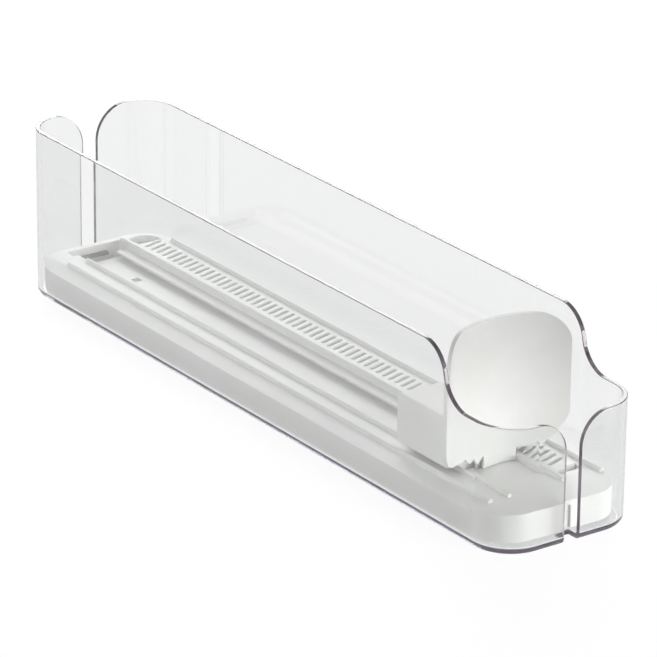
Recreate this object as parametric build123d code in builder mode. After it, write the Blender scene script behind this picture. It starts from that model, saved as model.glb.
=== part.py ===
from build123d import *

import os
from math import acos, ceil, cos, degrees, floor, pi, radians, sin, sqrt, tan

# A single-lane refrigerator bin: a clear tray that holds a white track, and on the track a pusher
# that a wound mainspring drives forward along a slotted rack.
# Millimetres. X runs across the bin, the front is -Y, Z is up, and the origin is the middle of the
# underside. Everything is drawn with the pusher at the front of its travel.

# ------------------------------------------------------------------ driving dimensions
# clear bin
bin_length = 400.0
bin_width = 80.0
bin_height = 88.0
lip_height = 61.0
bin_corner = 20.5
bin_wall = 2.3
bin_floor = 2.5
bin_foot_round = 3.2
bin_inner_round = 1.2
rim_fall_start = 60.0
rim_upper_radius = 16.5
rim_lower_radius = 16.2
slot_width = 8.4
slot_front_round = 16.0
slot_rear_round = 18.0
slot_floor_reach = 8.0

# track: outline and heights
track_side_gap = 0.8
track_end_gap = 4.2
track_lift = 1.5
track_deck = 17.5
shoulder_drop = 1.9
track_skin = 2.0
pocket_depth = 1.2
pocket_margin = 2.0
pocket_corner = 1.2

# track: section across the bin
rail_width = 2.4
near_rail = -27.1
far_rail = 34.9
rail_rise = 1.9
rail_front_inset = 18.0
rail_rear_inset = 20.0
rail_bevel = 0.7
shoulder_front_inset = 17.5
guide_rail_width = 2.0
guide_rail_rise = 1.9
channel_centre = -4.2
channel_width = 22.6
channel_drop = 5.9
floor_skin = 1.8
tee_reach = 3.0
tee_height = 2.3
ledge_width = 6.2
ledge_drop = 2.4
rack_wall_width = 3.5
rack_wall_rise = 1.5
rack_wall_front_inset = 19.5
rack_wall_rear_inset = 4.0
trough_width = 13.8
trough_drop = 4.1

# track: positions along the bin
channel_front_inset = 32.0
channel_rear_inset = 3.5
floor_end_inset = 10.5
trough_front_inset = 25.5
trough_rear_inset = 3.5
recess_radius = 8.3
hole_size = 4.6
hole_x = -1.6
hole_rear_inset = 42.8

# rack
tooth_pitch = 5.0
rack_skew = 16.8
rack_rise = 0.7
rack_slot_width = 2.2
rack_slot_depth = 2.4
rack_slot_bevel = 0.35
rack_slot_margin = 2.5
rack_slot_wall = 0.6
rack_side_fit = 0.2
rack_front_gap = 4.5
rack_rear_gap = 12.5
rack_corner = 1.0

# front stop, bumpers and pads
stop_length = 23.6
stop_fit = 0.2
stop_plate = 1.0
stop_clearance = 0.15
stop_edge_round = 0.4
bumper_thickness = 1.2
rear_bumper_thickness = 2.0
bumper_seat = 0.05
bumper_margin = 1.5
bumper_gap = 0.3
bumper_corner = 0.6
pad_radius = 4.5
pad_inset_x = 9.0
pad_inset_y = 16.0

# pusher panel
panel_width = 68.4
panel_rise = 5.8
panel_height = 64.3
panel_radius = 52.0
panel_thickness = 2.2
panel_lead = 3.8
panel_top_corner = 14.6
panel_left_corner = 12.0
panel_right_corner = 18.0
neck_left = -7.1
neck_fit = 0.4
neck_lift = 0.3
lobe_x = -11.9
lobe_half_width = 4.5
lobe_lean = 3.0
lobe_drop = 3.1

# pusher housing
housing_left = -25.0
housing_right = 27.0
housing_depth = 38.8
housing_rise = 3.8
housing_height = 23.2
housing_wall = 1.6
housing_corner = 3.0
housing_round = 2.6
housing_foot_round = 3.0
panel_gap = 0.1

# carriage
slide_fit = 0.35
flange_lift = 0.25
base_fit = 0.2
base_thickness = 1.8
base_front_inset = 0.9
bearing_thickness = 2.4
bearing_half_width = 6.0
bearing_radius = 4.4
bearing_places = (-18.6, 7.6, 15.6)
pinion_window_fit = 0.8

# drive train
pinion_teeth = 12
pinion_face = 5.0
pinion_x = 22.2
pinion_hub_radius = 3.6
mesh_depth = 0.6
tooth_tip_height = 1.0
tooth_root_depth = 1.5
tooth_tip_width = 0.9
tooth_root_width = 2.2
axle_radius = 1.5
axle_inset = 19.5
axle_left = -21.6
axle_chamfer = 0.3
axle_fit = 0.05
key_fit = 0.02
bush_radius = 2.4
bush_flange_radius = 3.4
bush_flange_thickness = 0.6
barrel_radius = 12.2
barrel_wall = 1.2
barrel_width = 16.6
barrel_fit = 0.15
barrel_end_fit = 0.45
lug_width = 5.0
lug_height = 2.2
lug_reach = 2.6
lid_thickness = 1.2
lid_rim = 2.0
arbor_radius = 3.0
arbor_fit = 0.3
arbor_overhang = 0.8
spring_thickness = 0.4
spring_gap = 0.45
spring_turns = 8
spring_end_fit = 0.3
clip_radius = 2.7
clip_thickness = 0.6
clip_clearance = 0.25
clip_groove = 0.3

# screws
screw_radius = 1.25
screw_head_radius = 2.3
screw_head_height = 1.4
screw_fit = 0.05
screw_recess = 0.9
screw_crown = 0.6
screw_slot = 0.25
screw_head_fit = 0.2
boss_radius = 2.6
stop_screw_length = 4.6
housing_screw_length = 8.0
housing_boss_left = -20.6
housing_boss_right = 11.6
housing_boss_front_inset = 3.3
housing_boss_rear_inset = 2.8
panel_screw_length = 3.0
panel_screw_head = 3.6
panel_boss_x = 9.0
panel_boss_rise = 14.1

# working allowances: how far a cut runs past a surface, and how near two heights count as one
overcut = 1.0
clear_away = 10.0
same_height = 0.01

# ------------------------------------------------------------------ derived places
half_length = bin_length / 2
half_width = bin_width / 2
inner_half_width = half_width - bin_wall
inner_half_length = half_length - bin_wall
track_half_width = inner_half_width - track_side_gap
track_half_length = inner_half_length - track_end_gap
track_corner = bin_corner - bin_wall - track_side_gap
track_foot = bin_floor + track_lift
track_shoulder = track_deck - shoulder_drop
channel_floor = track_deck - channel_drop
ledge_top = track_deck - ledge_drop
trough_floor = track_deck - trough_drop
rail_top = track_deck + rail_rise
rack_wall_top = track_deck + rack_wall_rise
guide_rail_top = track_deck + guide_rail_rise
channel_left = channel_centre - channel_width / 2
channel_right = channel_centre + channel_width / 2
tee_left = channel_left - tee_reach
tee_right = channel_right + tee_reach
tee_roof = channel_floor + tee_height
ledge_right = channel_right + ledge_width
trough_left = ledge_right + rack_wall_width
trough_right = trough_left + trough_width
channel_front = -track_half_length + channel_front_inset
channel_rear = track_half_length - channel_rear_inset
floor_end = track_half_length - floor_end_inset
trough_front = -track_half_length + trough_front_inset
trough_rear = track_half_length - trough_rear_inset
rail_front = -track_half_length + rail_front_inset
rail_rear = track_half_length - rail_rear_inset
shoulder_front = -track_half_length + shoulder_front_inset
rack_wall_front = -track_half_length + rack_wall_front_inset
rack_wall_rear = track_half_length - rack_wall_rear_inset

pitch_radius = pinion_teeth * tooth_pitch / (2 * pi)
rack_top = track_deck + rack_rise
pitch_line = rack_top - mesh_depth
axle_z = pitch_line + pitch_radius
rack_left = trough_left + rack_side_fit
rack_right = trough_right - rack_side_fit
rack_front = trough_front + rack_front_gap
rack_rear = trough_rear - rack_rear_gap
slot_run = rack_right - rack_left - 2 * rack_slot_margin

stop_left = channel_left + stop_fit
stop_rear = channel_front + stop_length
stop_top = ledge_top + stop_plate
carriage_front = stop_rear + bumper_seat + bumper_thickness + stop_clearance
panel_front_y = carriage_front - panel_lead
housing_rear = panel_front_y + housing_depth
carriage_rear = housing_rear - housing_wall - base_fit
axle_y = housing_rear - axle_inset
rear_bumper_face = channel_rear - rear_bumper_thickness - bumper_seat
travel = rear_bumper_face - carriage_rear - stop_clearance

panel_bottom = track_deck + panel_rise
panel_top = panel_bottom + panel_height
housing_bottom = track_deck + housing_rise
housing_top = housing_bottom + housing_height
panel_boss_z = panel_bottom + panel_boss_rise
base_top = housing_bottom + base_thickness
panel_axis_y = panel_front_y - panel_radius
panel_back_radius = panel_radius + panel_thickness
panel_reach = panel_radius - sqrt(panel_radius**2 - (panel_width / 2) ** 2)
neck_right = ledge_right - neck_fit

barrel_left = channel_centre - barrel_width / 2
barrel_right = channel_centre + barrel_width / 2
pinion_left = pinion_x - pinion_face / 2
pinion_right = pinion_x + pinion_face / 2
hub_left = bearing_places[2] + bearing_thickness / 2 + clip_clearance


def section_plane(y):
    """A plane across the bin at y, with X to the right and Z up; it faces the front."""
    return Plane.XZ.offset(-y)


def axle_plane(x):
    """A plane square to the drive axle at x, centred on the axle, with +Y to the right."""
    return Plane(origin=(x, axle_y, axle_z), x_dir=(0, 1, 0), z_dir=(1, 0, 0))


def pan_head_screw(length, head_radius):
    """A cross-recess pan-head screw that points down, the underside of its head at the origin."""
    with BuildPart() as screw:
        with BuildSketch(Plane.XZ):
            with BuildLine():
                Polyline(
                    (0, -length),
                    (screw_radius / 2, -length),
                    (screw_radius, -length + screw_radius),
                    (screw_radius, 0),
                    (head_radius, 0),
                    (head_radius, screw_head_height / 2),
                    (head_radius * screw_crown, screw_head_height),
                    (0, screw_head_height),
                    close=True,
                )
            make_face()
        revolve(axis=Axis.Z)
        with BuildSketch(Plane.XY.offset(screw_head_height)):
            Rectangle(head_radius, head_radius * screw_slot)
            Rectangle(head_radius * screw_slot, head_radius)
        extrude(amount=-screw_head_height / 2, mode=Mode.SUBTRACT)
    return screw.part


# ------------------------------------------------------------------ clear bin
rim_angle = degrees(acos(1 - (bin_height - lip_height) / (rim_upper_radius + rim_lower_radius)))
rim_start = -half_length + rim_fall_start
above = bin_height + clear_away
beyond = half_length + clear_away

with BuildPart() as clear_bin:
    with BuildSketch():
        RectangleRounded(bin_width, bin_length, bin_corner)
    extrude(amount=bin_height)
    fillet(clear_bin.faces().sort_by(Axis.Z)[0].edges(), bin_foot_round)
    with BuildSketch(Plane.XY.offset(bin_floor)):
        RectangleRounded(bin_width - 2 * bin_wall, bin_length - 2 * bin_wall, bin_corner - bin_wall)
    extrude(amount=bin_height, mode=Mode.SUBTRACT)
    inner_edges = clear_bin.edges().filter_by_position(
        Axis.Z, bin_floor - same_height, bin_floor + same_height
    )
    fillet(inner_edges, bin_inner_round)
    # the side rims fall in an S curve to the low front lip
    with BuildSketch(Plane.YZ):
        with BuildLine():
            upper = JernArc((rim_start, bin_height), (-1, 0), rim_upper_radius, rim_angle)
            lower = JernArc(upper @ 1, upper % 1, rim_lower_radius, -rim_angle)
            Polyline(
                lower @ 1,
                (-beyond, lip_height),
                (-beyond, above),
                (rim_start, above),
                upper @ 0,
            )
        make_face()
    extrude(amount=beyond, both=True, mode=Mode.SUBTRACT)
    # finger slots in the front and rear walls, rounded over into the rims
    for side, rim, over in ((-1, lip_height, slot_front_round), (1, bin_height, slot_rear_round)):
        reach = slot_width / 2 + over
        with BuildSketch(section_plane(side * beyond)):
            with BuildLine():
                Line((-slot_width / 2, -overcut), (slot_width / 2, -overcut))
                Line((slot_width / 2, -overcut), (slot_width / 2, rim - over))
                JernArc((slot_width / 2, rim - over), (0, 1), over, -90)
                Polyline((reach, rim), (reach, above), (-reach, above), (-reach, rim))
                JernArc((-reach, rim), (1, 0), over, -90)
                Line((-slot_width / 2, rim - over), (-slot_width / 2, -overcut))
            make_face()
        extrude(amount=side * (beyond - half_length + slot_floor_reach), mode=Mode.SUBTRACT)
clear_bin.part.label = "clear_bin"

# ------------------------------------------------------------------ track base
track_length = 2 * track_half_length
track_width = 2 * track_half_width

with BuildPart() as track_base:
    with BuildSketch(Plane.XY.offset(track_foot)):
        RectangleRounded(track_width, track_length, track_corner)
    extrude(amount=track_deck - track_foot)
    # the near shoulder slopes from its rail down to the long edge
    shoulder_start = near_rail - rail_width / 2
    with BuildSketch(section_plane(beyond)):
        with BuildLine():
            Polyline(
                (shoulder_start, track_deck),
                (-track_half_width, track_shoulder),
                (-track_half_width - overcut, track_shoulder),
                (-track_half_width - overcut, track_deck + overcut),
                (shoulder_start, track_deck + overcut),
                close=True,
            )
        make_face()
    extrude(amount=beyond - shoulder_front, mode=Mode.SUBTRACT)
    # can rails, guide rail and rack wall
    guide_x = channel_left - guide_rail_width / 2
    rack_wall_x = (ledge_right + trough_left) / 2
    rails = (
        (near_rail, rail_width, rail_top, rail_front, rail_rear),
        (far_rail, rail_width, rail_top, rail_front, rail_rear),
        (guide_x, guide_rail_width, guide_rail_top, rail_front, rail_rear),
        (rack_wall_x, rack_wall_width, rack_wall_top, rack_wall_front, rack_wall_rear),
    )
    for x, width, top, front, rear in rails:
        with BuildSketch(section_plane(rear)):
            with BuildLine():
                Polyline(
                    (x - width / 2, track_deck - overcut),
                    (x + width / 2, track_deck - overcut),
                    (x + width / 2, top - rail_bevel),
                    (x + width / 2 - rail_bevel, top),
                    (x - width / 2 + rail_bevel, top),
                    (x - width / 2, top - rail_bevel),
                    close=True,
                )
            make_face()
        extrude(amount=rear - front)
    # channel with a T slot under its edges, and the ledge beside it
    with BuildSketch(Plane.XY.offset(channel_floor)):
        with Locations(((channel_left + channel_right) / 2, (channel_front + channel_rear) / 2)):
            Rectangle(channel_width, channel_rear - channel_front)
    extrude(amount=above, mode=Mode.SUBTRACT)
    with BuildSketch(Plane.XY.offset(channel_floor)):
        with Locations(((tee_left + tee_right) / 2, (channel_front + channel_rear) / 2)):
            Rectangle(tee_right - tee_left, channel_rear - channel_front)
    extrude(amount=tee_height, mode=Mode.SUBTRACT)
    with BuildSketch(Plane.XY.offset(ledge_top)):
        with Locations(((channel_left + ledge_right) / 2, (channel_front + channel_rear) / 2)):
            Rectangle(ledge_right - channel_left, channel_rear - channel_front)
    extrude(amount=track_deck - ledge_top + overcut, mode=Mode.SUBTRACT)
    # trough for the rack, with a round rear end
    trough_mid = (trough_left + trough_right) / 2
    with BuildSketch(Plane.XY.offset(trough_floor)):
        with Locations((trough_mid, (trough_front + trough_rear - recess_radius) / 2)):
            Rectangle(trough_width, trough_rear - recess_radius - trough_front)
        with Locations((trough_mid, trough_rear - recess_radius)):
            Circle(recess_radius)
    extrude(amount=above, mode=Mode.SUBTRACT)
    # drop-in opening behind the channel floor, and the small square hole in the floor
    with BuildSketch():
        with Locations(((tee_left + ledge_right) / 2, (floor_end + channel_rear) / 2)):
            Rectangle(ledge_right - tee_left, channel_rear - floor_end)
        with Locations((hole_x, track_half_length - hole_rear_inset)):
            Rectangle(hole_size, hole_size)
    extrude(amount=above, mode=Mode.SUBTRACT)
    # hollow underside in three bays, each as deep as the floor above it lets it be
    bay_half_length = track_half_length - track_skin
    bays = (
        (-track_half_width + track_skin, tee_left - track_skin, track_shoulder - track_skin),
        (tee_left, tee_right, channel_floor - floor_skin),
        (tee_right + track_skin, track_half_width - track_skin, trough_floor - floor_skin),
    )
    for left, right, roof in bays:
        with BuildSketch(Plane.XY.offset(track_foot)):
            with Locations(((left + right) / 2, 0)):
                Rectangle(right - left, 2 * bay_half_length)
            RectangleRounded(
                track_width - 2 * track_skin,
                track_length - 2 * track_skin,
                track_corner - track_skin,
                mode=Mode.INTERSECT,
            )
        extrude(amount=roof - track_foot, mode=Mode.SUBTRACT)
    # feet posts over the pads, and the hole of the front stop's screw
    pad_x = track_half_width - pad_inset_x
    pad_y = track_half_length - pad_inset_y
    for x, roof in ((-pad_x, bays[0][2]), (pad_x, bays[2][2])):
        with BuildSketch(Plane.XY.offset(track_foot)):
            with Locations((x, -pad_y), (x, 0), (x, pad_y)):
                Circle(pad_radius)
        extrude(amount=roof - track_foot)
    stop_screw_x = (stop_left + channel_right) / 2
    stop_screw_y = channel_front + stop_length / 2
    with BuildSketch(Plane.XY.offset(channel_floor)):
        with Locations((stop_screw_x, stop_screw_y)):
            Circle(screw_radius + screw_fit)
    extrude(amount=-2 * floor_skin, mode=Mode.SUBTRACT)
    # shallow pocket in the front face, right behind the bin's slot
    pocket_bottom = track_foot - 2 * pocket_corner
    pocket_top = track_deck - pocket_margin
    with BuildSketch(section_plane(-track_half_length - overcut)):
        with Locations((0, (pocket_bottom + pocket_top) / 2)):
            RectangleRounded(slot_width, pocket_top - pocket_bottom, pocket_corner)
    extrude(amount=-(overcut + pocket_depth), mode=Mode.SUBTRACT)
track_base.part.label = "track_base"


# ------------------------------------------------------------------ track pads
with BuildPart() as track_pads:
    with BuildSketch(Plane.XY.offset(bin_floor)):
        with GridLocations(2 * pad_x, pad_y, 2, 3):
            Circle(pad_radius)
    extrude(amount=track_lift)
track_pads.part.label = "track_pads"

# ------------------------------------------------------------------ rack strip
slot_mid = (rack_left + rack_right) / 2
slot_shift = (slot_mid - pinion_x) * tan(radians(rack_skew))
slot_reach = (slot_run * tan(radians(rack_skew)) + rack_slot_width) / 2 + rack_slot_wall
first_slot = ceil((rack_front + slot_reach - slot_shift - axle_y) / tooth_pitch)
last_slot = floor((rack_rear - slot_reach - slot_shift - axle_y) / tooth_pitch)
slots = [
    (slot_mid, axle_y + slot_shift + number * tooth_pitch)
    for number in range(first_slot, last_slot + 1)
]
slot_length = slot_run / cos(radians(rack_skew))

with BuildPart() as rack_strip:
    with BuildSketch(Plane.XY.offset(trough_floor)):
        with Locations((slot_mid, (rack_front + rack_rear) / 2)):
            Rectangle(rack_right - rack_left, rack_rear - rack_front)
    extrude(amount=rack_top - trough_floor)
    fillet(rack_strip.edges().filter_by(Axis.Z), rack_corner)
    with BuildSketch(Plane.XY.offset(rack_top - rack_slot_depth)):
        with Locations(*slots):
            SlotCenterToCenter(slot_length, rack_slot_width, rotation=rack_skew)
    extrude(amount=rack_slot_depth, mode=Mode.SUBTRACT)
    with BuildSketch(Plane.XY.offset(rack_top)):
        with Locations(*slots):
            SlotCenterToCenter(slot_length, rack_slot_width + 2 * rack_slot_bevel, rotation=rack_skew)
    extrude(amount=-rack_slot_bevel, taper=45, mode=Mode.SUBTRACT)
rack_strip.part.label = "rack_strip"

# ------------------------------------------------------------------ front stop and bumpers
with BuildPart() as front_stop:
    with BuildSketch(section_plane(stop_rear)):
        with BuildLine():
            Polyline(
                (stop_left, channel_floor + bumper_seat),
                (tee_right - stop_fit, channel_floor + bumper_seat),
                (tee_right - stop_fit, tee_roof - stop_fit),
                (channel_right - stop_fit, tee_roof - stop_fit),
                (channel_right - stop_fit, ledge_top + bumper_seat),
                (ledge_right - stop_fit, ledge_top + bumper_seat),
                (ledge_right - stop_fit, stop_top),
                (stop_left, stop_top),
                close=True,
            )
        make_face()
    extrude(amount=stop_length - stop_fit)
    fillet(front_stop.edges().group_by(Axis.Z)[-1].filter_by(Axis.X), stop_edge_round)
    with BuildSketch(Plane.XY.offset(channel_floor)):
        with Locations((stop_screw_x, stop_screw_y)):
            Circle(screw_radius + screw_fit)
    extrude(amount=stop_screw_length - floor_skin + screw_fit, mode=Mode.SUBTRACT)
front_stop.part.label = "front_stop"

stop_screw_plane = Plane(
    origin=(stop_screw_x, stop_screw_y, channel_floor - floor_skin), x_dir=(1, 0, 0), z_dir=(0, 0, -1)
)
with BuildPart() as stop_screw:
    add(stop_screw_plane * pan_head_screw(stop_screw_length, screw_head_radius))
stop_screw.part.label = "stop_screw"

with BuildPart() as front_bumper:
    bumper_left = stop_left + bumper_margin
    bumper_right = channel_right - bumper_margin
    with BuildSketch(section_plane(stop_rear + bumper_seat + bumper_thickness)):
        with Locations(((bumper_left + bumper_right) / 2, (tee_roof + channel_floor) / 2)):
            RectangleRounded(bumper_right - bumper_left, tee_height - 2 * bumper_gap, bumper_corner)
    extrude(amount=bumper_thickness)
front_bumper.part.label = "front_bumper"

with BuildPart() as rear_bumper:
    with BuildSketch(section_plane(channel_rear - bumper_seat)):
        with Locations((channel_centre, (tee_roof + channel_floor) / 2)):
            RectangleRounded(channel_width - 2 * bumper_margin, tee_height - 2 * bumper_gap, bumper_corner)
    extrude(amount=rear_bumper_thickness)
rear_bumper.part.label = "rear_bumper"

# ------------------------------------------------------------------ pusher panel
panel_middle = (panel_top + panel_bottom) / 2
neck_bottom = stop_top + neck_lift
boss_end = panel_axis_y + sqrt((panel_back_radius + panel_gap + housing_wall) ** 2 - panel_boss_x**2)

with BuildPart() as pusher_panel:
    with BuildSketch(section_plane(panel_axis_y + panel_back_radius + overcut)) as panel_outline:
        with Locations((0, panel_middle)):
            Rectangle(panel_width, panel_top - panel_bottom)
        fillet(panel_outline.vertices().group_by(Axis.Y)[-1], panel_top_corner)
        lower_corners = panel_outline.vertices().group_by(Axis.Y)[0].sort_by(Axis.X)
        fillet(lower_corners[0], panel_left_corner)
        lower_corners = panel_outline.vertices().group_by(Axis.Y)[0].sort_by(Axis.X)
        fillet(lower_corners[-1], panel_right_corner)
        with Locations(((neck_left + neck_right) / 2, (neck_bottom + panel_bottom + overcut) / 2)):
            Rectangle(neck_right - neck_left, panel_bottom + overcut - neck_bottom)
        with BuildLine():
            Polyline(
                (lobe_x - lobe_half_width, panel_bottom + overcut),
                (lobe_x, panel_bottom - lobe_drop),
                (lobe_x + lobe_half_width + lobe_lean, panel_bottom + overcut),
                close=True,
            )
        make_face()
    extrude(amount=panel_reach + panel_thickness + 2 * overcut)
    with BuildSketch():
        with Locations((0, panel_axis_y)):
            Circle(panel_back_radius)
            Circle(panel_radius, mode=Mode.SUBTRACT)
    extrude(amount=bin_height, mode=Mode.INTERSECT)
    with BuildSketch(section_plane(boss_end)):
        with Locations((-panel_boss_x, panel_boss_z), (panel_boss_x, panel_boss_z)):
            Circle(boss_radius)
    extrude(until=Until.NEXT)
    with BuildSketch(section_plane(boss_end)):
        with Locations((-panel_boss_x, panel_boss_z), (panel_boss_x, panel_boss_z)):
            Circle(screw_radius + screw_fit)
    extrude(amount=panel_screw_length + screw_fit, mode=Mode.SUBTRACT)
pusher_panel.part.label = "pusher_panel"

with BuildPart() as panel_screws:
    for x in (-panel_boss_x, panel_boss_x):
        seat = Plane(origin=(x, boss_end, panel_boss_z), x_dir=(1, 0, 0), z_dir=(0, 1, 0))
        add(seat * pan_head_screw(panel_screw_length, panel_screw_head))
panel_screws.part.label = "panel_screws"

# ------------------------------------------------------------------ pusher housing
housing_mid = (housing_left + housing_right) / 2
housing_width = housing_right - housing_left
bosses = [
    (x, y)
    for x in (housing_boss_left, housing_boss_right)
    for y in (carriage_front + housing_boss_front_inset, carriage_rear - housing_boss_rear_inset)
]
screw_seat = housing_bottom + screw_recess
side_reach = sqrt((panel_back_radius + panel_gap) ** 2 - housing_left**2)
side_front = panel_axis_y + side_reach

with BuildPart() as pusher_housing:
    with BuildSketch(Plane.XY.offset(housing_bottom)):
        with Locations((housing_mid, (housing_rear + panel_axis_y) / 2)):
            Rectangle(housing_width, housing_rear - panel_axis_y)
    extrude(amount=housing_top - housing_bottom)
    rear_edges = pusher_housing.edges().filter_by(Axis.Z).group_by(Axis.Y)[-1]
    fillet(rear_edges, housing_corner)
    top_face = pusher_housing.faces().sort_by(Axis.Z)[-1]
    fillet(top_face.edges(), housing_round)
    # seen from the side, the two lower corners are round
    with BuildSketch(Plane.YZ) as side_view:
        with Locations(((housing_rear + side_front) / 2, (housing_top + housing_bottom) / 2)):
            Rectangle(housing_rear - side_front, housing_top - housing_bottom)
        fillet(side_view.vertices().group_by(Axis.Y)[0], housing_foot_round)
    extrude(amount=beyond, both=True, mode=Mode.INTERSECT)
    with BuildSketch(Plane.XY.offset(housing_bottom)):
        with Locations((housing_mid, (housing_rear + panel_axis_y) / 2)):
            Rectangle(housing_width - 2 * housing_wall, housing_rear - panel_axis_y - 2 * housing_wall)
        with Locations((0, panel_axis_y)):
            Circle(panel_back_radius + panel_gap + housing_wall, mode=Mode.SUBTRACT)
    extrude(amount=housing_top - housing_wall - housing_bottom, mode=Mode.SUBTRACT)
    with BuildSketch(Plane.XY.offset(base_top + base_fit)):
        with Locations(*bosses):
            Circle(boss_radius)
    extrude(amount=housing_top - housing_wall - base_top)
    with BuildSketch(Plane.XY.offset(base_top)):
        with Locations(*bosses):
            Circle(screw_radius + screw_fit)
    extrude(amount=housing_screw_length, mode=Mode.SUBTRACT)
    # the front follows the back of the panel
    with BuildSketch(Plane.XY.offset(-overcut)):
        with Locations((0, panel_axis_y)):
            Circle(panel_back_radius + panel_gap)
    extrude(amount=bin_height, mode=Mode.SUBTRACT)
    # holes for the panel's bosses, and flat seats for their screws
    with BuildSketch(section_plane(boss_end)):
        with Locations((-panel_boss_x, panel_boss_z), (panel_boss_x, panel_boss_z)):
            Circle(boss_radius + panel_gap)
    extrude(amount=2 * housing_wall, mode=Mode.SUBTRACT)
    with BuildSketch(section_plane(boss_end + housing_wall)):
        with Locations((-panel_boss_x, panel_boss_z), (panel_boss_x, panel_boss_z)):
            Circle(panel_screw_head + screw_head_fit)
    extrude(amount=housing_wall, mode=Mode.SUBTRACT)
pusher_housing.part.label = "pusher_housing"

with BuildPart() as housing_screws:
    for x, y in bosses:
        seat = Plane(origin=(x, y, screw_seat), x_dir=(1, 0, 0), z_dir=(0, 0, -1))
        add(seat * pan_head_screw(housing_screw_length, screw_head_radius))
housing_screws.part.label = "housing_screws"

# ------------------------------------------------------------------ carriage
base_left = housing_left + housing_wall + base_fit
base_right = housing_right - housing_wall - base_fit
carriage_length = carriage_rear - carriage_front
base_front = carriage_front + base_front_inset

with BuildPart() as carriage:
    with BuildSketch(section_plane(carriage_rear)):
        with BuildLine():
            Polyline(
                (tee_left + slide_fit, channel_floor + flange_lift),
                (tee_right - slide_fit, channel_floor + flange_lift),
                (tee_right - slide_fit, tee_roof - slide_fit),
                (channel_right - slide_fit, tee_roof - slide_fit),
                (channel_right - slide_fit, housing_bottom),
                (channel_left + slide_fit, housing_bottom),
                (channel_left + slide_fit, tee_roof - slide_fit),
                (tee_left + slide_fit, tee_roof - slide_fit),
                close=True,
            )
        make_face()
    extrude(amount=carriage_length)
    with BuildSketch(Plane.XY.offset(housing_bottom)):
        with Locations(((base_left + base_right) / 2, (base_front + carriage_rear) / 2)):
            Rectangle(base_right - base_left, carriage_rear - base_front)
    extrude(amount=base_thickness)
    fillet(carriage.edges().filter_by(Axis.Z).group_by(Axis.Y)[-1], housing_corner - housing_wall)
    # bearing uprights
    for x in bearing_places:
        with BuildSketch(axle_plane(x - bearing_thickness / 2)):
            with BuildLine():
                Polyline(
                    (-bearing_half_width, base_top - axle_z),
                    (bearing_half_width, base_top - axle_z),
                    (bearing_radius, 0),
                    (-bearing_radius, 0),
                    close=True,
                )
            make_face()
            Circle(bearing_radius)
        extrude(amount=bearing_thickness)
    with BuildSketch(axle_plane(base_left)):
        Circle(bush_radius + key_fit)
    extrude(amount=base_right - base_left, mode=Mode.SUBTRACT)
    # cradle for the spring barrel and window for the pinion
    with BuildSketch(axle_plane(barrel_left - barrel_end_fit)):
        Circle(barrel_radius + barrel_fit)
    extrude(amount=barrel_width + 2 * barrel_end_fit, mode=Mode.SUBTRACT)
    window_half = sqrt((pitch_radius + tooth_tip_height) ** 2 - (axle_z - base_top) ** 2)
    with BuildSketch(Plane.XY.offset(housing_bottom)):
        with Locations((pinion_x, axle_y)):
            Rectangle(
                pinion_face + 2 * pinion_window_fit, 2 * (window_half + pinion_window_fit)
            )
    extrude(amount=base_thickness, mode=Mode.SUBTRACT)
    # recessed screw seats
    with BuildSketch(Plane.XY.offset(housing_bottom)):
        with Locations(*bosses):
            Circle(screw_head_radius + screw_head_fit)
    extrude(amount=screw_recess, mode=Mode.SUBTRACT)
    with BuildSketch(Plane.XY.offset(housing_bottom)):
        with Locations(*bosses):
            Circle(screw_radius + screw_fit)
    extrude(amount=base_thickness, mode=Mode.SUBTRACT)
carriage.part.label = "carriage"

# ------------------------------------------------------------------ axle, bushes and clips
clip_places = (
    bearing_places[0] - bearing_thickness / 2 - clip_clearance - clip_thickness,
    bearing_places[1] + bearing_thickness / 2 + clip_clearance,
)
axle_right = pinion_right + clip_clearance

with BuildPart() as drive_axle:
    with BuildSketch(axle_plane(axle_left)):
        Circle(axle_radius)
    extrude(amount=axle_right - axle_left)
    chamfer(drive_axle.edges(), axle_chamfer)
    for x in clip_places:
        with BuildSketch(axle_plane(x)):
            Circle(axle_radius + overcut)
            Circle(axle_radius - clip_groove, mode=Mode.SUBTRACT)
        extrude(amount=clip_thickness, mode=Mode.SUBTRACT)
drive_axle.part.label = "drive_axle"

with BuildPart() as axle_clips:
    for x in clip_places:
        with BuildSketch(axle_plane(x + key_fit)):
            Circle(clip_radius)
            Circle(axle_radius - clip_groove + key_fit, mode=Mode.SUBTRACT)
            with Locations((0, clip_radius)):
                Rectangle(axle_radius, 2 * clip_radius, mode=Mode.SUBTRACT)
        extrude(amount=clip_thickness - 2 * key_fit)
axle_clips.part.label = "axle_clips"

with BuildPart() as axle_bushes:
    for x, inward in zip(bearing_places, (1, -1, -1)):
        sleeve_start = x - bearing_thickness / 2
        flange_start = x + inward * bearing_thickness / 2
        with BuildSketch(axle_plane(sleeve_start)):
            Circle(bush_radius)
            Circle(axle_radius + axle_fit, mode=Mode.SUBTRACT)
        extrude(amount=bearing_thickness)
        with BuildSketch(axle_plane(flange_start)):
            Circle(bush_flange_radius)
            Circle(axle_radius + axle_fit, mode=Mode.SUBTRACT)
        extrude(amount=inward * bush_flange_thickness)
axle_bushes.part.label = "axle_bushes"

# ------------------------------------------------------------------ drive pinion
def tooth_outline(lean):
    """Closed outline of the pinion about the axle, turned by lean degrees; one tooth points down."""
    points = []
    for tooth in range(pinion_teeth):
        middle = -90 + lean + tooth * 360 / pinion_teeth
        root = pitch_radius - tooth_root_depth
        tip = pitch_radius + tooth_tip_height
        for radius, offset in (
            (root, -tooth_root_width / 2),
            (tip, -tooth_tip_width / 2),
            (tip, tooth_tip_width / 2),
            (root, tooth_root_width / 2),
        ):
            angle = radians(middle) + offset / radius
            points.append((radius * cos(angle), radius * sin(angle)))
    return points


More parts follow.
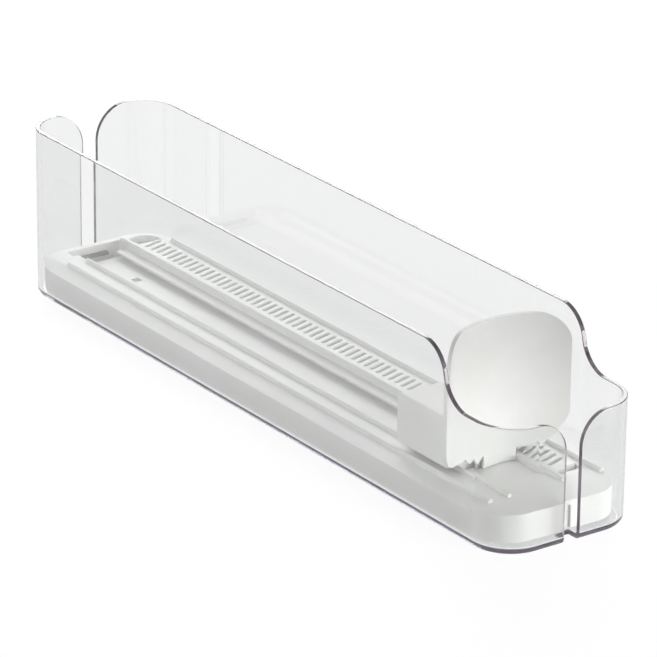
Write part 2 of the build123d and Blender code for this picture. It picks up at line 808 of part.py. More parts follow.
lean_per_mm = degrees(tan(radians(rack_skew)) / pitch_radius)
with BuildPart() as drive_pinion:
    for x in (pinion_left, pinion_right):
        with BuildSketch(axle_plane(x)):
            with BuildLine():
                Polyline(*tooth_outline((x - pinion_x) * lean_per_mm), close=True)
            make_face()
    loft(ruled=True)
    with BuildSketch(axle_plane(hub_left)):
        Circle(pinion_hub_radius)
    extrude(amount=pinion_left - hub_left)
    with BuildSketch(axle_plane(hub_left)):
        Circle(axle_radius + key_fit)
    extrude(amount=pinion_right - hub_left, mode=Mode.SUBTRACT)
drive_pinion.part.label = "drive_pinion"

# ------------------------------------------------------------------ spring barrel, lid, arbor
cup_end = barrel_right - lid_thickness

with BuildPart() as spring_barrel:
    with BuildSketch(axle_plane(barrel_left)):
        Circle(barrel_radius)
    extrude(amount=cup_end - barrel_left)
    with BuildSketch(axle_plane(barrel_left + barrel_wall)):
        Circle(barrel_radius - barrel_wall)
    extrude(amount=cup_end - barrel_left, mode=Mode.SUBTRACT)
    with BuildSketch(axle_plane(barrel_left)):
        Circle(arbor_radius + arbor_fit)
    extrude(amount=barrel_wall, mode=Mode.SUBTRACT)
    # two lugs lie on the carriage's base and stop the barrel from turning
    lug_bottom = base_top + key_fit
    lug_root = sqrt(barrel_radius**2 - (axle_z - lug_bottom - lug_height) ** 2) - barrel_wall / 2
    for side in (-1, 1):
        with BuildSketch(Plane.XY.offset(lug_bottom)):
            with Locations((channel_centre, axle_y + side * (lug_root + lug_reach / 2))):
                Rectangle(lug_width, lug_reach)
        extrude(amount=lug_height)
spring_barrel.part.label = "spring_barrel"

with BuildPart() as barrel_lid:
    with BuildSketch(axle_plane(cup_end)):
        Circle(barrel_radius)
    extrude(amount=lid_thickness)
    with BuildSketch(axle_plane(cup_end - lid_rim)):
        Circle(barrel_radius - barrel_wall - key_fit)
        Circle(barrel_radius - 2 * barrel_wall, mode=Mode.SUBTRACT)
    extrude(amount=lid_rim)
    with BuildSketch(axle_plane(cup_end)):
        Circle(arbor_radius + arbor_fit)
    extrude(amount=lid_thickness, mode=Mode.SUBTRACT)
barrel_lid.part.label = "barrel_lid"

with BuildPart() as spring_arbor:
    with BuildSketch(axle_plane(barrel_left - arbor_overhang)):
        Circle(arbor_radius)
        Circle(axle_radius + key_fit, mode=Mode.SUBTRACT)
    extrude(amount=barrel_width + 2 * arbor_overhang)
spring_arbor.part.label = "spring_arbor"

# ------------------------------------------------------------------ mainspring
spring_pitch = spring_thickness + spring_gap
spring_inner = arbor_radius + arbor_fit
spring_left = barrel_left + barrel_wall + spring_end_fit
spring_right = cup_end - lid_rim - spring_end_fit

with BuildPart() as mainspring:
    with BuildSketch(axle_plane(spring_left)):
        with BuildLine():
            for half in range(2 * spring_turns):
                centre = (spring_pitch / 2 * (half % 2), 0)
                start = 180 * (half % 2)
                inside = spring_inner + half * spring_pitch / 2
                CenterArc(centre, inside, start, 180)
                CenterArc(centre, inside + spring_thickness, start, 180)
            Line((spring_inner, 0), (spring_inner + spring_thickness, 0))
            spring_outer = spring_inner + spring_turns * spring_pitch
            Line((spring_outer, 0), (spring_outer + spring_thickness, 0))
        make_face()
    extrude(amount=spring_right - spring_left)
mainspring.part.label = "mainspring"

# ------------------------------------------------------------------ files
pieces = (
    clear_bin,
    track_base,
    track_pads,
    rack_strip,
    front_stop,
    stop_screw,
    front_bumper,
    rear_bumper,
    pusher_panel,
    panel_screws,
    pusher_housing,
    housing_screws,
    carriage,
    axle_bushes,
    drive_axle,
    axle_clips,
    drive_pinion,
    spring_arbor,
    spring_barrel,
    barrel_lid,
    mainspring,
)
os.makedirs("parts", exist_ok=True)
for piece in pieces:
    export_step(piece.part, f"parts/{piece.part.label}.step")
print(f"pusher travel {travel:.2f} mm, axle at z {axle_z:.3f}, pitch radius {pitch_radius:.4f}")
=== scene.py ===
import logging
import math
from collections.abc import Callable
from dataclasses import dataclass
from enum import Enum

import bmesh
import bpy
from mathutils import Matrix, Vector


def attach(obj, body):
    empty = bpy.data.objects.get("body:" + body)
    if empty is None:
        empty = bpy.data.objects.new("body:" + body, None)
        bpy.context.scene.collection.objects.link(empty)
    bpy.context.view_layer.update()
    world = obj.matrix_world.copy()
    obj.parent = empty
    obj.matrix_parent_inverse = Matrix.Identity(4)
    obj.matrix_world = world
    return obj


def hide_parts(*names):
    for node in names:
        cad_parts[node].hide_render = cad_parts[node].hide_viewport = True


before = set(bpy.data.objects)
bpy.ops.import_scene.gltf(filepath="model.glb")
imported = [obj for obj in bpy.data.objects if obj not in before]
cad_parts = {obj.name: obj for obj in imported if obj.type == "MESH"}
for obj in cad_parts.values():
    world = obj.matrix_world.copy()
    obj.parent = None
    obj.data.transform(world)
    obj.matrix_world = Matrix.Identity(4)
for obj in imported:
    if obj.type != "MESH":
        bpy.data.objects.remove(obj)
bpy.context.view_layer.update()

LOG = logging.getLogger("refrigerator_bin")
MM = 0.001
EVEN = Vector((1, 1, 1))
POINT_MATCH = MM / 10
DRAWN_MERGE = 0.001 * MM
PACKED_MERGE = 0.002 * MM
PACKED_FLAT = math.radians(0.5)
LARGE_FACE_WEIGHT = 80


class Slot(Enum):
    """The finishes that the object is made in."""

    CLEAR = "clear_plastic"
    WHITE = "white_plastic"
    GEAR = "gear_plastic"
    SOFT = "soft_pad"
    SPRING = "spring_steel"
    ZINC = "zinc_steel"


class Body(Enum):
    """The bodies that pieces ride on."""

    BIN = "bin"
    PUSHER = "pusher"


# ------------------------------------------------------------------ small tools
def srgb(red: float, green: float, blue: float) -> tuple[float, float, float, float]:
    """A colour as the shader reads it, from what a screen shows.

    Args:
        red: Red from 0 to 255.
        green: Green from 0 to 255.
        blue: Blue from 0 to 255.

    Returns:
        Linear red, green and blue, and an alpha of 1.
    """
    linear = [
        value / 12.92 if value <= 0.04045 else ((value + 0.055) / 1.055) ** 2.4
        for value in (red / 255, green / 255, blue / 255)
    ]
    return (linear[0], linear[1], linear[2], 1.0)


def only(piece: bpy.types.Object) -> None:
    """Leaves object mode and makes one object the only selected and active one.

    Args:
        piece: The object to work on.
    """
    if bpy.context.object is not None and bpy.context.object.mode != "OBJECT":
        bpy.ops.object.mode_set(mode="OBJECT")
    bpy.ops.object.select_all(action="DESELECT")
    piece.select_set(True)
    bpy.context.view_layer.objects.active = piece


def select_edges(piece: bpy.types.Object, wanted: Callable[[Vector, Vector], bool]) -> None:
    """Enters edit mode on a piece and selects the edges that a test picks by their two ends.

    Args:
        piece: The mesh object.
        wanted: Says yes or no to an edge's two end points, in metres.
    """
    only(piece)
    bpy.ops.object.mode_set(mode="EDIT")
    bpy.ops.mesh.select_mode(type="EDGE")
    bpy.ops.mesh.select_all(action="DESELECT")
    mesh = bmesh.from_edit_mesh(piece.data)
    for edge in mesh.edges:
        first, second = (corner.co for corner in edge.verts)
        edge.select = wanted(first, second)
    bmesh.update_edit_mesh(piece.data)


def round_edges(
    piece: bpy.types.Object,
    wanted: Callable[[Vector, Vector], bool],
    reach: float,
    steps: int,
) -> None:
    """Rounds the edges that a test picks, by a bevel in edit mode.

    Args:
        piece: The mesh object.
        wanted: Says yes or no to an edge's two end points.
        reach: How far the round runs along each face from the edge, in metres.
        steps: Facets in the round.
    """
    select_edges(piece, wanted)
    bpy.ops.mesh.bevel(offset=reach, segments=steps, affect="EDGES", clamp_overlap=False)
    bpy.ops.mesh.select_all(action="SELECT")
    bpy.ops.mesh.remove_doubles(threshold=DRAWN_MERGE)
    bpy.ops.object.mode_set(mode="OBJECT")


def block(name: str, low: Vector, high: Vector) -> bpy.types.Object:
    """A box between two corners, its object at the origin.

    Args:
        name: The new object's name.
        low: Lowest corner in metres.
        high: Highest corner in metres.

    Returns:
        The mesh object.
    """
    bpy.ops.object.select_all(action="DESELECT")
    bpy.ops.mesh.primitive_cube_add(size=1.0, location=(low + high) / 2)
    piece = bpy.context.object
    piece.name = name
    piece.scale = high - low
    bpy.ops.object.transform_apply(location=True, rotation=True, scale=True)
    return piece


def outline_block(name: str, corners: list[Vector], depth: Vector) -> bpy.types.Object:
    """A flat outline drawn corner by corner and extruded to a solid.

    Args:
        name: The new object's name.
        corners: The outline's corners in order, in metres.
        depth: The way and distance that the outline is extruded.

    Returns:
        The mesh object, with its normals outwards.
    """
    bpy.ops.object.select_all(action="DESELECT")
    bpy.ops.mesh.primitive_plane_add(size=MM, location=corners[0])
    piece = bpy.context.object
    piece.name = name
    bpy.ops.object.transform_apply(location=True, rotation=True, scale=True)
    bpy.ops.object.mode_set(mode="EDIT")
    bpy.ops.mesh.select_mode(type="VERT")
    bpy.ops.mesh.select_all(action="SELECT")
    bpy.ops.mesh.merge(type="CENTER")
    for before, after in zip(corners, corners[1:]):
        bpy.ops.mesh.extrude_vertices_move(TRANSFORM_OT_translate={"value": after - before})
    bpy.ops.mesh.select_all(action="SELECT")
    bpy.ops.mesh.edge_face_add()
    bpy.ops.mesh.extrude_region_move(TRANSFORM_OT_translate={"value": depth})
    bpy.ops.mesh.select_all(action="SELECT")
    bpy.ops.mesh.normals_make_consistent(inside=False)
    bpy.ops.object.mode_set(mode="OBJECT")
    return piece


def cut_away(piece: bpy.types.Object, cutter: bpy.types.Object) -> None:
    """Cuts one closed mesh out of another and removes the cutter.

    Args:
        piece: The mesh that stays.
        cutter: The mesh that is taken out of it.
    """
    only(piece)
    tool = piece.modifiers.new("cut", "BOOLEAN")
    tool.operation = "DIFFERENCE"
    tool.solver = "EXACT"
    tool.object = cutter
    bpy.ops.object.modifier_apply(modifier=tool.name)
    bpy.data.objects.remove(cutter)


def soften(piece: bpy.types.Object, width: float, steps: int, least_turn: float) -> None:
    """Rounds all sharp edges a little and evens the shading over the flat faces.

    Args:
        piece: The mesh object.
        width: Width of the round in metres.
        steps: Facets in the round.
        least_turn: The least angle between two faces that counts as sharp, in degrees.
    """
    only(piece)
    rounding = piece.modifiers.new("soft_edges", "BEVEL")
    rounding.width = width
    rounding.segments = steps
    rounding.limit_method = "ANGLE"
    rounding.angle_limit = math.radians(least_turn)
    rounding.miter_outer = "MITER_ARC"
    rounding.use_clamp_overlap = True
    bpy.ops.object.modifier_apply(modifier=rounding.name)
    bpy.ops.object.shade_smooth_by_angle(angle=math.radians(least_turn))
    even = piece.modifiers.new("even_shading", "WEIGHTED_NORMAL")
    even.keep_sharp = True
    even.weight = LARGE_FACE_WEIGHT
    bpy.ops.object.modifier_apply(modifier=even.name)


def moulded_copy(node: str, name: str) -> bpy.types.Object:
    """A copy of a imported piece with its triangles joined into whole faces, ready to be softened.

    Args:
        node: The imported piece.
        name: The new object's name.

    Returns:
        The mesh object, at the origin.
    """
    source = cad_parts[node]
    mesh = source.data.copy()
    mesh.materials.clear()
    piece = bpy.data.objects.new(name, mesh)
    bpy.context.scene.collection.objects.link(piece)
    only(piece)
    if mesh.has_custom_normals:
        bpy.ops.mesh.customdata_custom_splitnormals_clear()
    bpy.ops.object.mode_set(mode="EDIT")
    bpy.ops.mesh.select_all(action="SELECT")
    bpy.ops.mesh.remove_doubles(threshold=PACKED_MERGE)
    bpy.ops.mesh.dissolve_limited(angle_limit=PACKED_FLAT)
    bpy.ops.object.mode_set(mode="OBJECT")
    return piece


# ------------------------------------------------------------------ finishes
class NodeBench:
    """A material's node tree, with short ways to add and join nodes."""

    NUMBER_SPREAD = (0.3, 0.7)
    COLOUR_SPREAD = (0.35, 0.65)

    def __init__(self, name: str) -> None:
        """Starts a material with nothing but its output.

        Args:
            name: The material's name.
        """
        self.material = bpy.data.materials.new(name)
        self.material.use_nodes = True
        self.nodes = self.material.node_tree.nodes
        self.links = self.material.node_tree.links
        self.nodes.clear()
        self.output = self.nodes.new("ShaderNodeOutputMaterial")
        self.place = self.nodes.new("ShaderNodeTexCoord").outputs["Object"]

    def noise(self, pitch: float, detail: float, stretch: Vector) -> bpy.types.NodeSocket:
        """Noise in the object's own space.

        Args:
            pitch: Size of its blotches in metres.
            detail: Octaves.
            stretch: How many times longer the blotches are along X, Y and Z.

        Returns:
            The noise's value.
        """
        mapping = self.nodes.new("ShaderNodeMapping")
        mapping.inputs["Scale"].default_value = [1 / (pitch * share) for share in stretch]
        noise = self.nodes.new("ShaderNodeTexNoise")
        noise.inputs["Scale"].default_value = 1.0
        noise.inputs["Detail"].default_value = detail
        self.links.new(self.place, mapping.inputs["Vector"])
        self.links.new(mapping.outputs["Vector"], noise.inputs["Vector"])
        return noise.outputs["Fac"]

    def between(self, share: bpy.types.NodeSocket, low: float, high: float) -> bpy.types.NodeSocket:
        """A number that follows a noise, or a switch between 0 and 1, from one value to another.

        Args:
            share: The noise or the switch.
            low: Value where it is low.
            high: Value where it is high.

        Returns:
            The number.
        """
        spread = self.nodes.new("ShaderNodeMapRange")
        spread.inputs["From Min"].default_value = self.NUMBER_SPREAD[0]
        spread.inputs["From Max"].default_value = self.NUMBER_SPREAD[1]
        spread.inputs["To Min"].default_value = low
        spread.inputs["To Max"].default_value = high
        self.links.new(share, spread.inputs["Value"])
        return spread.outputs["Result"]

    def tint(
        self,
        share: bpy.types.NodeSocket,
        first: tuple[float, float, float, float],
        second: tuple[float, float, float, float],
    ) -> bpy.types.NodeSocket:
        """A colour that follows a noise from one colour to another.

        Args:
            share: The noise.
            first: Colour where the noise is low.
            second: Colour where the noise is high.

        Returns:
            The colour.
        """
        ramp = self.nodes.new("ShaderNodeValToRGB")
        stops = zip(ramp.color_ramp.elements, self.COLOUR_SPREAD, (first, second))
        for stop, position, colour in stops:
            stop.position = position
            stop.color = colour
        self.links.new(share, ramp.inputs["Fac"])
        return ramp.outputs["Color"]

    def bump(self, height: bpy.types.NodeSocket, depth: float, strength: float) -> bpy.types.NodeSocket:
        """A bump from a noise.

        Args:
            height: The noise.
            depth: Height of the bumps in metres.
            strength: How much of the bump is used, from 0 to 1.

        Returns:
            The bent normal.
        """
        bump = self.nodes.new("ShaderNodeBump")
        bump.inputs["Distance"].default_value = depth
        bump.inputs["Strength"].default_value = strength
        self.links.new(height, bump.inputs["Height"])
        return bump.outputs["Normal"]

    def shader(self, **values: object) -> bpy.types.Node:
        """A Principled shader with some sockets set.

        Args:
            **values: Socket names, with underscores for spaces, and their values.

        Returns:
            The shader node.
        """
        node = self.nodes.new("ShaderNodeBsdfPrincipled")
        for name, value in values.items():
            node.inputs[name.replace("_", " ")].default_value = value
        return node

    def either(
        self, switch: bpy.types.NodeSocket, off: bpy.types.NodeSocket, on: bpy.types.NodeSocket
    ) -> bpy.types.NodeSocket:
        """One shader or the other, by a switch.

        Args:
            switch: 0 for the first shader, 1 for the second.
            off: The first shader.
            on: The second shader.

        Returns:
            The chosen shader.
        """
        mix = self.nodes.new("ShaderNodeMixShader")
        self.links.new(switch, mix.inputs["Fac"])
        self.links.new(off, mix.inputs[1])
        self.links.new(on, mix.inputs[2])
        return mix.outputs["Shader"]


@dataclass(frozen=True)
class MouldedPlastic:
    """An opaque moulded plastic with a fine grain, a little uneven in colour and gloss."""

    name: str
    colour: tuple[float, float, float]
    shade: tuple[float, float, float]
    gloss: tuple[float, float]
    index: float = 1.5
    specular: float = 0.36
    blotch: float = 22 * MM
    blotch_detail: float = 3.0
    blotch_stretch: float = 2.2
    grain: float = 0.35 * MM
    grain_detail: float = 2.0
    grain_depth: float = 0.012 * MM
    grain_strength: float = 0.6

    def make(self) -> bpy.types.Material:
        """Builds the material.

        Returns:
            The material.
        """
        bench = NodeBench(self.name)
        shader = bench.shader(IOR=self.index, Specular_IOR_Level=self.specular)
        cloud = bench.noise(self.blotch, self.blotch_detail, Vector((1, self.blotch_stretch, 1)))
        grain = bench.noise(self.grain, self.grain_detail, EVEN)
        bench.links.new(bench.tint(cloud, srgb(*self.shade), srgb(*self.colour)), shader.inputs["Base Color"])
        bench.links.new(bench.between(cloud, *self.gloss), shader.inputs["Roughness"])
        bump = bench.bump(grain, self.grain_depth, self.grain_strength)
        bench.links.new(bump, shader.inputs["Normal"])
        bench.links.new(shader.outputs["BSDF"], bench.output.inputs["Surface"])
        return bench.material


@dataclass(frozen=True)
class ClearPlastic:
    """Polished clear plastic. Light that runs on inside a wall dims in the plastic, and past a few
    reflections inside a wall the surface shows a painted dark violet-grey shade with painted glints, so its
    cut edges look dark.
    """

    name: str
    index: float = 1.53
    colour: tuple[float, float, float] = (241, 242, 241)
    shadow_tint: tuple[float, float, float, float] = (0.95, 0.955, 0.955, 1.0)
    depth_colour: tuple[float, float, float, float] = (0.66, 0.64, 0.80, 1.0)
    density: float = 14.0
    flow: float = 26 * MM
    flow_detail: float = 1.5
    flow_stretch: float = 3.5
    flow_depth: float = 0.05 * MM
    flow_strength: float = 0.35
    # Painted shade and painted glints for the cut edges: a glowing dark violet grey whose strength follows a
    # noise, shown once a ray has reflected several times inside the plastic.
    painted_edge_shade: tuple[float, float, float, float] = (0.10, 0.082, 0.095, 1.0)
    painted_glint_level: tuple[float, float] = (0.25, 2.8)
    painted_glint_pitch: float = 7 * MM
    painted_glint_detail: float = 3.0
    painted_shade_after: float = 2.5

    def glass(self, bench: NodeBench) -> bpy.types.NodeSocket:
        """The polished plastic itself, with a faint flow in its faces.

        Args:
            bench: The material's bench.

        Returns:
            The shader.
        """
        glass = bench.shader(
            Base_Color=srgb(*self.colour), IOR=self.index, Transmission_Weight=1.0, Roughness=0.0
        )
        flow = bench.noise(self.flow, self.flow_detail, Vector((1, self.flow_stretch, 1)))
        bump = bench.bump(flow, self.flow_depth, self.flow_strength)
        bench.links.new(bump, glass.inputs["Normal"])
        return glass.outputs["BSDF"]

    def window(self, bench: NodeBench) -> bpy.types.NodeSocket:
        """What light from the lamps meets: a pane that it passes straight through.

        Args:
            bench: The material's bench.

        Returns:
            The shader.
        """
        window = bench.nodes.new("ShaderNodeBsdfTransparent")
        window.inputs["Color"].default_value = self.shadow_tint
        return window.outputs["BSDF"]

    def painted_edge_glow(self, bench: NodeBench) -> bpy.types.NodeSocket:
        """A painted shade with painted glints, standing in for light that has run far inside a wall: a
        glowing dark violet grey, brighter in blotches.

        Args:
            bench: The material's bench.

        Returns:
            The shader.
        """
        painted_edge_shade = bench.nodes.new("ShaderNodeEmission")
        painted_edge_shade.inputs["Color"].default_value = self.painted_edge_shade
        # Painted glints: the glow's strength follows a noise.
        painted_glints = bench.noise(self.painted_glint_pitch, self.painted_glint_detail, EVEN)
        bench.links.new(bench.between(painted_glints, *self.painted_glint_level), painted_edge_shade.inputs["Strength"])
        return painted_edge_shade.outputs["Emission"]

    def make(self) -> bpy.types.Material:
        """Builds the material: glass, a straight way for lamps, and a painted dark shade with painted glints
        that takes the place of light trapped in a wall.

        Returns:
            The material.
        """
        bench = NodeBench(self.name)
        ray = bench.nodes.new("ShaderNodeLightPath")
        pane = bench.either(ray.outputs["Is Shadow Ray"], self.glass(bench), self.window(bench))
        # Past a few glossy reflections the surface shows the painted shade and painted glints instead of the
        # glass.
        painted_shade_switch = bench.nodes.new("ShaderNodeMath")
        painted_shade_switch.operation = "GREATER_THAN"
        painted_shade_switch.inputs[1].default_value = self.painted_shade_after
        bench.links.new(ray.outputs["Glossy Depth"], painted_shade_switch.inputs[0])
        surface = bench.either(painted_shade_switch.outputs["Value"], pane, self.painted_edge_glow(bench))
        inside = bench.nodes.new("ShaderNodeVolumeAbsorption")
        inside.inputs["Color"].default_value = self.depth_colour
        inside.inputs["Density"].default_value = self.density
        bench.links.new(surface, bench.output.inputs["Surface"])
        bench.links.new(inside.outputs["Volume"], bench.output.inputs["Volume"])
        return bench.material


@dataclass(frozen=True)
class SoftPad:
    """Matt grey elastomer with a dusty grain."""

    name: str
    colour: tuple[float, float, float]
    shade: tuple[float, float, float]
    gloss: tuple[float, float] = (0.75, 0.95)
    index: float = 1.45
    specular: float = 0.3
    blotch: float = 3 * MM
    blotch_detail: float = 4.0
    grain: float = 0.18 * MM
    grain_detail: float = 2.0
    grain_depth: float = 0.03 * MM
    grain_strength: float = 0.7

    def make(self) -> bpy.types.Material:
        """Builds the material.

        Returns:
            The material.
        """
        bench = NodeBench(self.name)
        shader = bench.shader(IOR=self.index, Specular_IOR_Level=self.specular)
        cloud = bench.noise(self.blotch, self.blotch_detail, EVEN)
        grain = bench.noise(self.grain, self.grain_detail, EVEN)
        bench.links.new(bench.tint(cloud, srgb(*self.shade), srgb(*self.colour)), shader.inputs["Base Color"])
        bench.links.new(bench.between(grain, *self.gloss), shader.inputs["Roughness"])
        bump = bench.bump(grain, self.grain_depth, self.grain_strength)
        bench.links.new(bump, shader.inputs["Normal"])
        bench.links.new(shader.outputs["BSDF"], bench.output.inputs["Surface"])
        return bench.material


@dataclass(frozen=True)
class Steel:
    """Steel with fine marks in one direction, such as rolling or turning leaves."""

    name: str
    colour: tuple[float, float, float]
    shade: tuple[float, float, float]
    gloss: tuple[float, float]
    marks: Vector
    mark_width: float = 0.12 * MM
    mark_detail: float = 3.0
    mark_depth: float = 0.01 * MM
    mark_strength: float = 0.5
    blotch: float = 2.5 * MM
    blotch_detail: float = 2.0

    def make(self) -> bpy.types.Material:
        """Builds the material.

        Returns:
            The material.
        """
        bench = NodeBench(self.name)
        shader = bench.shader(Metallic=1.0)
        marks = bench.noise(self.mark_width, self.mark_detail, self.marks)
        cloud = bench.noise(self.blotch, self.blotch_detail, EVEN)
        bench.links.new(bench.tint(cloud, srgb(*self.shade), srgb(*self.colour)), shader.inputs["Base Color"])
        bench.links.new(bench.between(marks, *self.gloss), shader.inputs["Roughness"])
        bump = bench.bump(marks, self.mark_depth, self.mark_strength)
        bench.links.new(bump, shader.inputs["Normal"])
        bench.links.new(shader.outputs["BSDF"], bench.output.inputs["Surface"])
        return bench.material


class Finishes:
    """One material for each slot, made once."""

    def __init__(self) -> None:
        """Makes every material."""
        self.by_slot = {
            Slot.CLEAR: ClearPlastic("clear_plastic").make(),
            Slot.WHITE: MouldedPlastic(
                "white_plastic", (241, 241, 239), (237, 237, 234), (0.44, 0.52)
            ).make(),
            Slot.GEAR: MouldedPlastic(
                "gear_plastic", (232, 228, 214), (224, 220, 204), (0.30, 0.40)
            ).make(),
            Slot.SOFT: SoftPad("soft_pad", (150, 150, 148), (136, 136, 134)).make(),
            Slot.SPRING: Steel(
                "spring_steel", (170, 174, 184), (150, 152, 160), (0.18, 0.32), Vector((1, 40, 40))
            ).make(),
            Slot.ZINC: Steel(
                "zinc_steel", (205, 206, 208), (182, 184, 188), (0.22, 0.38), Vector((6, 6, 6))
            ).make(),
        }

    def dress(self, piece: bpy.types.Object, slot: Slot) -> None:
        """Gives a whole piece one finish.

        Args:
            piece: A new piece or a packed one.
            slot: The finish.
        """
        piece.data.materials.clear()
        piece.data.materials.append(self.by_slot[slot])


# ------------------------------------------------------------------ clear bin
@dataclass
class ClearBin:
    """The clear tray: straight walls, side rims that fall in an S to a low front lip, two finger slots."""

    length: float = 400 * MM
    width: float = 80 * MM
    height: float = 88 * MM
    lip: float = 61 * MM
    corner: float = 20.5 * MM
    wall: float = 2.3 * MM
    floor: float = 2.5 * MM
    foot_round: float = 3.2 * MM
    inner_round: float = 1.2 * MM
    fall_start: float = 60 * MM
    upper_radius: float = 16.5 * MM
    lower_radius: float = 16.2 * MM
    slot_width: float = 8.4 * MM
    slot_front_round: float = 16 * MM
    slot_rear_round: float = 18 * MM
    slot_floor_reach: float = 8 * MM
    slot_round_share: float = 0.999
    rim_round: float = 0.4 * MM
    rim_steps: int = 3
    least_turn: float = 30.0
    corner_steps: int = 24
    foot_steps: int = 7
    inner_steps: int = 4
    curve_steps: int = 28
    past: float = 10 * MM
    cut_merge: float = 0.01 * MM
    cut_flat: float = math.radians(0.2)

    def shell(self) -> bpy.types.Object:
        """The tray before its rims are cut.

        Returns:
            The closed mesh of walls and floor.
        """
        half = Vector((self.width / 2, self.length / 2, 0))
        outer = block("clear_tray", Vector((-half.x, -half.y, 0)), Vector((half.x, half.y, self.height)))
        round_edges(outer, lambda a, b: abs(a.z - b.z) > self.wall, self.corner, self.corner_steps)
        round_edges(outer, lambda a, b: max(a.z, b.z) < MM / 2, self.foot_round, self.foot_steps)
        inset = Vector((self.wall, self.wall, 0))
        inner = block(
            "inner_space",
            Vector((-half.x, -half.y, self.floor)) + inset,
            Vector((half.x, half.y, self.height + self.past)) - inset,
        )
        inner_corner = self.corner - self.wall
        round_edges(inner, lambda a, b: abs(a.z - b.z) > self.wall, inner_corner, self.corner_steps)
        floor_line = self.floor + MM / 2
        round_edges(inner, lambda a, b: max(a.z, b.z) < floor_line, self.inner_round, self.inner_steps)
        cut_away(outer, inner)
        return outer

    def rim_cutter(self) -> bpy.types.Object:
        """What is cut off above the low front lip, with the S of the side rims as its edge.

        Returns:
            The closed cutter.
        """
        drop = self.height - self.lip
        turn = math.acos(1 - drop / (self.upper_radius + self.lower_radius))
        upper_reach = self.upper_radius * math.tan(turn / 2)
        lower_reach = self.lower_radius * math.tan(turn / 2)
        side = self.width / 2 + self.past
        front = -self.length / 2 - self.past
        rear_corner = -self.length / 2 + self.fall_start - upper_reach
        front_corner = rear_corner - drop / math.tan(turn)
        top = self.height + self.past
        start = -self.length / 2 + self.fall_start + self.past
        cutter = outline_block(
            "rim_cutter",
            [
                Vector((-side, front, self.lip)),
                Vector((-side, front_corner, self.lip)),
                Vector((-side, rear_corner, self.height)),
                Vector((-side, start, self.height)),
                Vector((-side, start, top)),
                Vector((-side, front, top)),
            ],
            Vector((2 * side, 0, 0)),
        )

        def across_at(y: float, z: float) -> Callable[[Vector, Vector], bool]:
            """A test for the edge that runs across the bin at one place."""
            return lambda a, b: (
                abs(a.x - b.x) > side and max(abs(a.y - y), abs(a.z - z), abs(b.y - y)) < POINT_MATCH
            )

        round_edges(cutter, across_at(front_corner, self.lip), lower_reach, self.curve_steps)
        round_edges(cutter, across_at(rear_corner, self.height), upper_reach, self.curve_steps)
        return cutter

    def slot_cutter(self, end: int) -> bpy.types.Object:
        """The finger slot's space in one end wall, wide at the rim and narrow below.

        Args:
            end: -1 for the front wall, 1 for the rear wall.

        Returns:
            The closed cutter.
        """
        rim, over = (
            (self.lip, self.slot_front_round) if end < 0 else (self.height, self.slot_rear_round)
        )
        half = self.slot_width / 2
        reach = half + over
        outside = end * (self.length / 2 + self.past)
        top = self.height + self.past
        corners = [
            Vector((x, outside, z))
            for x, z in (
                (-half, -self.past),
                (half, -self.past),
                (half, rim),
                (reach, rim),
                (reach, top),
                (-reach, top),
                (-reach, rim),
                (-half, rim),
            )
        ]
        depth = Vector((0, -end * (self.past + self.slot_floor_reach), 0))
        cutter = outline_block("slot_cutter", corners, depth)
        round_edges(
            cutter,
            lambda a, b: (
                abs(a.y - b.y) > self.wall
                and abs(abs(a.x) - half) < POINT_MATCH
                and abs(a.z - rim) < POINT_MATCH
            ),
            over * self.slot_round_share,
            self.curve_steps,
        )
        return cutter

    def build(self, finishes: Finishes) -> None:
        """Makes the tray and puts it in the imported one's place.

        Args:
            finishes: The materials.
        """
        tray = self.shell()
        cut_away(tray, self.rim_cutter())
        cut_away(tray, self.slot_cutter(-1))
        cut_away(tray, self.slot_cutter(1))
        only(tray)
        bpy.ops.object.mode_set(mode="EDIT")
        bpy.ops.mesh.select_all(action="SELECT")
        bpy.ops.mesh.remove_doubles(threshold=self.cut_merge)
        bpy.ops.mesh.dissolve_limited(angle_limit=self.cut_flat)
        bpy.ops.object.mode_set(mode="OBJECT")
        soften(tray, self.rim_round, self.rim_steps, self.least_turn)
        finishes.dress(tray, Slot.CLEAR)
        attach(tray, Body.BIN.value)
        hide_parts("clear_bin")
        LOG.info("clear bin: %d faces", len(tray.data.polygons))


# ------------------------------------------------------------------ moulded pieces
@dataclass
class MouldedPiece:
    """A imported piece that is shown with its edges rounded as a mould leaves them."""

    node: str
    name: str
    slot: Slot
    body: Body
    edge: float
    steps: int = 2
    least_turn: float = 25.0

    def build(self, finishes: Finishes) -> None:
        """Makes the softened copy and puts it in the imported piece's place.

        Args:
            finishes: The materials.
        """
        piece = moulded_copy(self.node, self.name)
        soften(piece, self.edge, self.steps, self.least_turn)
        finishes.dress(piece, self.slot)
        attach(piece, self.body.value)
        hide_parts(self.node)
        LOG.info("%s: %d faces", self.name, len(piece.data.polygons))


@dataclass
class Track:
    """The white track in the bin, its rack strip and its front stop."""

    edge: float = 0.45 * MM
    rack_edge: float = 0.25 * MM

    def build(self, finishes: Finishes) -> None:
        """Makes the track's pieces.

        Args:
            finishes: The materials.
        """
        pieces = (
            MouldedPiece("track_base", "white_track", Slot.WHITE, Body.BIN, self.edge),
            MouldedPiece("rack_strip", "slotted_rack", Slot.WHITE, Body.BIN, self.rack_edge),
            MouldedPiece("front_stop", "channel_stop", Slot.WHITE, Body.BIN, self.edge),
        )
        for piece in pieces:
            piece.build(finishes)


